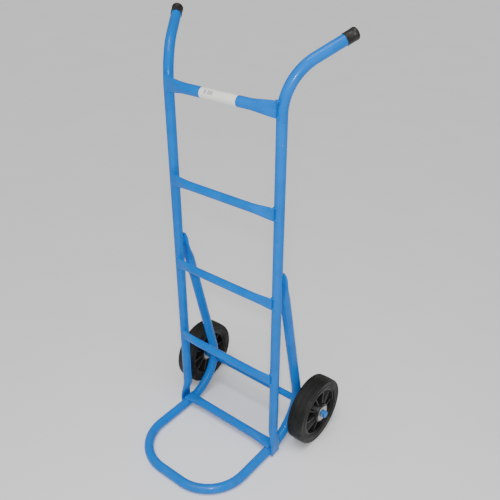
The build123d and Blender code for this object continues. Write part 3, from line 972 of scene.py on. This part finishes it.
def turnedLines(tree, place):
    # Fine moulded lines: along the tread by width, on the sidewalls by radius, dashes near the shoulder.
    facts = tyreLines
    wheel = middleOf("right_tyre")
    split = addNode(tree, "ShaderNodeSeparateXYZ", {0: place})
    behind = minus(tree, split.outputs["Y"], wheel.y)
    above = minus(tree, split.outputs["Z"], wheel.z)
    flat = addNode(tree, "ShaderNodeCombineXYZ", {0: behind, 1: above})
    radius = vectorNode(tree, "LENGTH", flat.outputs[0]).outputs["Value"]
    wide = mathNode(tree, "ABSOLUTE", split.outputs["X"])
    treadWave = mathNode(tree, "SINE", product(tree, wide, 2 * math.pi / facts["treadPitch"]))
    sideWave = mathNode(tree, "SINE", product(tree, radius, 2 * math.pi / facts["sidePitch"]))
    onTread = mathNode(tree, "GREATER_THAN", radius, facts["treadRadius"])
    lines = addNode(tree, "ShaderNodeMix", {0: onTread, 2: sideWave, 3: treadWave}).outputs[0]
    turned = mathNode(tree, "ARCTAN2", above, behind)
    dashWave = mathNode(tree, "SINE", product(tree, turned, 180 / facts["edgePitch"]))
    offCentre = apart(tree, wide, wheel.x)
    offset = apart(tree, offCentre, facts["edgeOffset"])
    nearEdge = product(tree, mathNode(tree, "LESS_THAN", offset, facts["edgeWidth"]), onTread)
    dash = mathNode(tree, "GREATER_THAN", dashWave, facts["dashFrom"])
    dashes = product(tree, dash, nearEdge)
    return minus(tree, spread(tree, lines, -0.2, 0.9), dashes)


tyreLook = {
    "rubber": (0.0095, 0.0094, 0.0083, 1), "dust": (0.040, 0.037, 0.027, 1),
    "speck": (0.11, 0.105, 0.085, 1),
    "grain": {"Coarse": 260.0, "Fine": 1900.0, "Balance": 0.55},
    "dustAndSheen": {"Height": 0.3, "Scale": 26.0, "Amount": 0.75},
    "specks": {"Scale": 240.0, "Amount": 0.10, "Size": 0.3},
    "specular": 0.28, "speckShare": 0.35, "roughness": (0.42, 0.66), "lineDepth": 0.8,
    "bump": (0.6, 0.0006),
}


def makeTyreRubber():
    look = tyreLook
    material, tree, shader, place = newMaterial("TyreRubber", Specular_IOR_Level=look["specular"])
    grain = useGroup(tree, grainGroup, place, **look["grain"])
    dustAndSheen = useGroup(tree, dustAndSheenGroup, place, **look["dustAndSheen"])
    specks = useGroup(tree, speckGroup, place, **look["specks"])
    worn = mixColour(tree, dustAndSheen.outputs["Mask"], look["rubber"], look["dust"])
    speckMask = product(tree, specks.outputs["Mask"], look["speckShare"])
    speckled = mixColour(tree, speckMask, worn, look["speck"])
    rough = spread(tree, grain.outputs["Patch"], 0.3, 0.7, *look["roughness"])
    lines = product(tree, turnedLines(tree, place), look["lineDepth"])
    ringed = mathNode(tree, "ADD", grain.outputs["Height"], lines)
    finishMaterial(tree, shader, speckled, rough, ringed, look["bump"])
    return material


hubLook = {
    "plastic": (0.0075, 0.0075, 0.0078, 1), "dust": (0.045, 0.043, 0.038, 1), "specular": 0.36,
    "grain": {"Coarse": 320.0, "Fine": 2400.0, "Balance": 0.6},
    "dustAndSheen": {"Height": 0.35, "Scale": 34.0, "Amount": 0.5},
    "roughness": (0.27, 0.46), "bump": (0.35, 0.0004),
}
capLook = {
    "plastic": (0.0125, 0.0115, 0.010, 1), "dust": (0.055, 0.048, 0.038, 1), "specular": 0.35,
    "grain": {"Coarse": 300.0, "Fine": 2000.0, "Balance": 0.5},
    "dustAndSheen": {"Height": 3.0, "Scale": 60.0, "Amount": 0.8},
    "roughness": (0.36, 0.52), "bump": (0.45, 0.0004),
}


def makeDustyPlastic(name, look):
    material, tree, shader, place = newMaterial(name, Specular_IOR_Level=look["specular"])
    grain = useGroup(tree, grainGroup, place, **look["grain"])
    dustAndSheen = useGroup(tree, dustAndSheenGroup, place, **look["dustAndSheen"])
    withDustAndSheen = mixColour(tree, dustAndSheen.outputs["Mask"], look["plastic"], look["dust"])
    rough = spread(tree, grain.outputs["Patch"], 0.3, 0.7, *look["roughness"])
    finishMaterial(tree, shader, withDustAndSheen, rough, grain.outputs["Height"], look["bump"])
    return material


zincLook = {
    "zinc": (0.50, 0.49, 0.46, 1), "dull": (0.33, 0.32, 0.29, 1), "stain": (0.22, 0.19, 0.15, 1),
    "grain": {"Coarse": 420.0, "Fine": 2600.0, "Balance": 0.5},
    "spots": {"Scale": 330.0, "Amount": 0.25, "Size": 0.4},
    "stainShare": 0.4, "roughness": (0.30, 0.52), "bump": (0.3, 0.0003),
}


def makeZincSteel():
    look = zincLook
    material, tree, shader, place = newMaterial("ZincSteel", Metallic=1.0)
    grain = useGroup(tree, grainGroup, place, **look["grain"])
    spots = useGroup(tree, speckGroup, place, **look["spots"])
    dull = mixColour(tree, spread(tree, grain.outputs["Patch"], 0.3, 0.7), look["zinc"], look["dull"])
    stain = product(tree, spots.outputs["Mask"], look["stainShare"])
    stained = mixColour(tree, stain, dull, look["stain"])
    rough = spread(tree, grain.outputs["Height"], 0.3, 0.7, *look["roughness"])
    finishMaterial(tree, shader, stained, rough, grain.outputs["Height"], look["bump"])
    return material


bushLook = {
    "plastic": (0.06, 0.06, 0.058, 1), "shade": (0.035, 0.035, 0.034, 1),
    "grain": {"Coarse": 300.0, "Fine": 1800.0, "Balance": 0.5},
    "roughness": (0.35, 0.5), "bump": (0.25, 0.0003),
}


def makeBushPlastic():
    look = bushLook
    material, tree, shader, place = newMaterial("BushPlastic", IOR=1.5)
    grain = useGroup(tree, grainGroup, place, **look["grain"])
    tone = mixColour(tree, spread(tree, grain.outputs["Patch"], 0.3, 0.7), look["plastic"], look["shade"])
    rough = spread(tree, grain.outputs["Height"], 0.3, 0.7, *look["roughness"])
    finishMaterial(tree, shader, tone, rough, grain.outputs["Height"], look["bump"])
    return material


labelPrint = {
    "barStart": 0.013, "barEnd": 0.039, "barPitch": 0.0021, "barFrom": -0.15, "topAngle": 2.12,
    "lowAngle": 2.86, "gapMiddle": 0.0225, "gapHalf": 0.0021, "inkShare": 0.88, "lineHalf": 0.045,
    "lineShare": 0.5,
    "lines": ((1.52, (0.62, 0.40, 0.44, 1)), (-2.55, (0.50, 0.62, 0.32, 1))),
    "paper": (0.94, 0.94, 0.91, 1), "dust": (0.74, 0.71, 0.63, 1), "ink": (0.12, 0.12, 0.115, 1),
    "sockets": {"Coat_Weight": 0.12, "Coat_Roughness": 0.25, "IOR": 1.45},
    "grain": {"Coarse": 500.0, "Fine": 2600.0, "Balance": 0.5},
    "dustAndSheen": {"Height": 4.0, "Scale": 45.0, "Amount": 0.16},
    "roughness": (0.42, 0.58), "bump": (0.12, 0.0003),
}


def makeLabelPaper():
    # Plain bars near one end and two thin ruled lines; there is no lettering.
    look = labelPrint
    low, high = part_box("rung_label")
    middle = (low + high) / 2
    material, tree, shader, place = newMaterial("LabelPaper", **look["sockets"])
    split = addNode(tree, "ShaderNodeSeparateXYZ", {0: place})
    alongLabel = minus(tree, split.outputs["X"], low.x)
    depth = minus(tree, split.outputs["Y"], middle.y)
    height = minus(tree, split.outputs["Z"], middle.z)
    angle = mathNode(tree, "ARCTAN2", height, depth)
    barWave = mathNode(tree, "SINE", product(tree, alongLabel, 2 * math.pi / look["barPitch"]))
    bars = mathNode(tree, "GREATER_THAN", barWave, look["barFrom"])
    window = between(tree, alongLabel, look["barStart"], look["barEnd"])
    tall = between(tree, angle, look["topAngle"], look["lowAngle"])
    offGap = apart(tree, alongLabel, look["gapMiddle"])
    parted = product(tree, bars, mathNode(tree, "GREATER_THAN", offGap, look["gapHalf"]))
    barMask = product(tree, parted, product(tree, window, tall))
    grain = useGroup(tree, grainGroup, place, **look["grain"])
    dustAndSheen = useGroup(tree, dustAndSheenGroup, place, **look["dustAndSheen"])
    paper = mixColour(tree, dustAndSheen.outputs["Mask"], look["paper"], look["dust"])
    inked = mixColour(tree, product(tree, barMask, look["inkShare"]), paper, look["ink"])
    for lineAngle, colour in look["lines"]:
        offset = apart(tree, angle, lineAngle)
        onLine = mathNode(tree, "LESS_THAN", offset, look["lineHalf"])
        inked = mixColour(tree, product(tree, onLine, look["lineShare"]), inked, colour)
    rough = spread(tree, grain.outputs["Patch"], 0.3, 0.7, *look["roughness"])
    finishMaterial(tree, shader, inked, rough, grain.outputs["Height"], look["bump"])
    return material


framePaint = makeFramePaint()
tyreRubber = makeTyreRubber()
hubPlastic = makeDustyPlastic("HubPlastic", hubLook)
zincSteel = makeZincSteel()
capPlastic = makeDustyPlastic("CapPlastic", capLook)
bushPlastic = makeBushPlastic()
labelPaper = makeLabelPaper()
print("materials made")

# Making the truck.

for node, facts in crossTubes.items():
    makeCrossTube(node, facts)
makeUprights()
makeToeLoop()
print("frame tubes made")

beadPattern = makeBeadPattern()
for node in ("rung_welds", "foot_welds", "base_bar_welds", "brace_welds", "axle_welds"):
    makeWelds(node, beadPattern)
bpy.data.objects.remove(beadPattern)
print("welds made")

makeTyres()
makeHubs()
makeAxleParts()
makeCaps()
makeLabel()
print("wheels, caps and label made")

for node, material in (("axle", framePaint), ("left_split_pin", zincSteel), ("right_split_pin", zincSteel)):
    nodes[node].data.materials.clear()
    nodes[node].data.materials.append(material)

# Floor, light and camera.

studio = {
    "floorSize": 60.0, "floorDrop": 0.0004, "floorColour": (0.93, 0.935, 0.94, 1),
    "floorShade": (0.91, 0.915, 0.92, 1), "floorRoughness": 0.85, "shadeScale": 3.0,
    "world": (1.0, 1.0, 1.0, 1), "worldStrength": 0.26, "flashPower": 18.0, "flashSize": 0.12,
    "flashOffset": Vector((0.02, -0.03, 0.10)), "softPower": 1.9, "softAngle": 34.0, "softTurn": (14, 6, 0),
}


def makeFloor():
    bpy.ops.object.select_all(action="DESELECT")
    place = (0, 0, cadLow.z - studio["floorDrop"])
    bpy.ops.mesh.primitive_plane_add(size=studio["floorSize"], location=place)
    floor = bpy.context.object
    floor.name = "StudioFloor"
    material, tree, shader, place = newMaterial("StudioFloor", Roughness=studio["floorRoughness"])
    mottle = noiseNode(tree, place, studio["shadeScale"], 2.0)
    tone = spread(tree, mottle.outputs["Fac"], 0.3, 0.7)
    colour = mixColour(tree, tone, studio["floorColour"], studio["floorShade"])
    tree.links.new(colour, shader.inputs["Base Color"])
    floor.data.materials.append(material)


def addLight(name, kind, power):
    data = bpy.data.lights.new(name, kind)
    data.energy = power
    light = bpy.data.objects.new(name, data)
    bpy.context.scene.collection.objects.link(light)
    return light


def makeFlash():
    light = addLight("Flash", "AREA", studio["flashPower"])
    light.data.size, light.data.shape = studio["flashSize"], "SQUARE"
    light.location = view["place"] + studio["flashOffset"]
    target = (cadLow + cadHigh) / 2
    light.rotation_euler = (target - light.location).to_track_quat("-Z", "Y").to_euler()


def makeSoftLight():
    light = addLight("SoftLight", "SUN", studio["softPower"])
    light.data.angle = math.radians(studio["softAngle"])
    light.rotation_euler = [math.radians(turn) for turn in studio["softTurn"]]


def makeWorld():
    world = bpy.data.worlds.new("StudioWorld")
    world.use_nodes = True
    background = world.node_tree.nodes["Background"]
    background.inputs["Color"].default_value = studio["world"]
    background.inputs["Strength"].default_value = studio["worldStrength"]
    bpy.context.scene.world = world


view = {
    "place": Vector((0.8982, -1.0217, 1.4113)), "yaw": 0.691, "pitch": 0.545, "roll": -0.010,
    "lens": 45.27, "sensor": 36, "shiftX": 0.025, "shiftY": 0.023,
}


def makeCamera():
    data = bpy.data.cameras.new("PhotoCamera")
    camera = bpy.data.objects.new("PhotoCamera", data)
    bpy.context.scene.collection.objects.link(camera)
    turn = Matrix.Rotation(view["yaw"], 4, "Z") @ Matrix.Rotation(math.pi / 2 - view["pitch"], 4, "X")
    camera.matrix_world = Matrix.Translation(view["place"]) @ turn @ Matrix.Rotation(view["roll"], 4, "Z")
    data.lens, data.sensor_width = view["lens"], view["sensor"]
    data.shift_x, data.shift_y = view["shiftX"], view["shiftY"]
    bpy.context.scene.camera = camera


makeFloor()
makeCamera()
makeWorld()
makeFlash()
makeSoftLight()
print("studio made")
